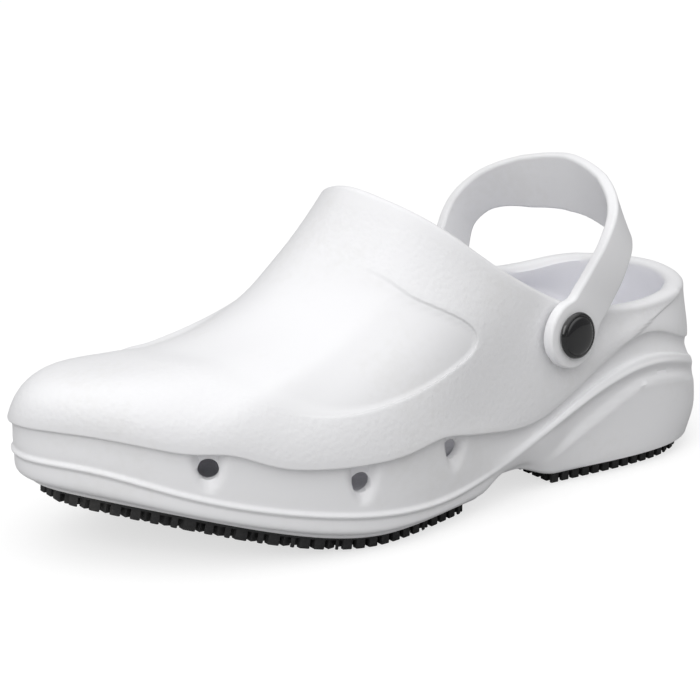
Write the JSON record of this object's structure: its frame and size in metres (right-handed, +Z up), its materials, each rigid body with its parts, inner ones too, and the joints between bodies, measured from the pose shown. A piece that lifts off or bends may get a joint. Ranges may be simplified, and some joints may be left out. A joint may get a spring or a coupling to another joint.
{
  "type": "clog",
  "caption": "Left work clog in moulded foam with closed toe, side vents, swivel heel strap on snap rivets and lugged rubber tread pads.",
  "frame": {"origin": "middle of the clog's bounding box at floor level, where the lug tips stand", "axes": "+X towards the toe, +Y to the wearer's left (lateral side), +Z up"},
  "size_m": [0.2662, 0.1012, 0.1077],
  "materials": {
    "foam": "white closed-cell foam, satin, grained on the upper",
    "tread": "black matt rubber",
    "insole": "white soft foam, matt",
    "rivet": "black gloss plastic"
  },
  "bodies": {
    "root": {"upper_and_midsole": "foam", "outsole_forefoot": "tread", "outsole_heel": "tread", "insole": "insole", "heel_strap": "foam", "rivet_lateral": "rivet", "rivet_lateral_back": "rivet", "rivet_medial": "rivet", "rivet_medial_back": "rivet"}
  },
  "joints": []
}
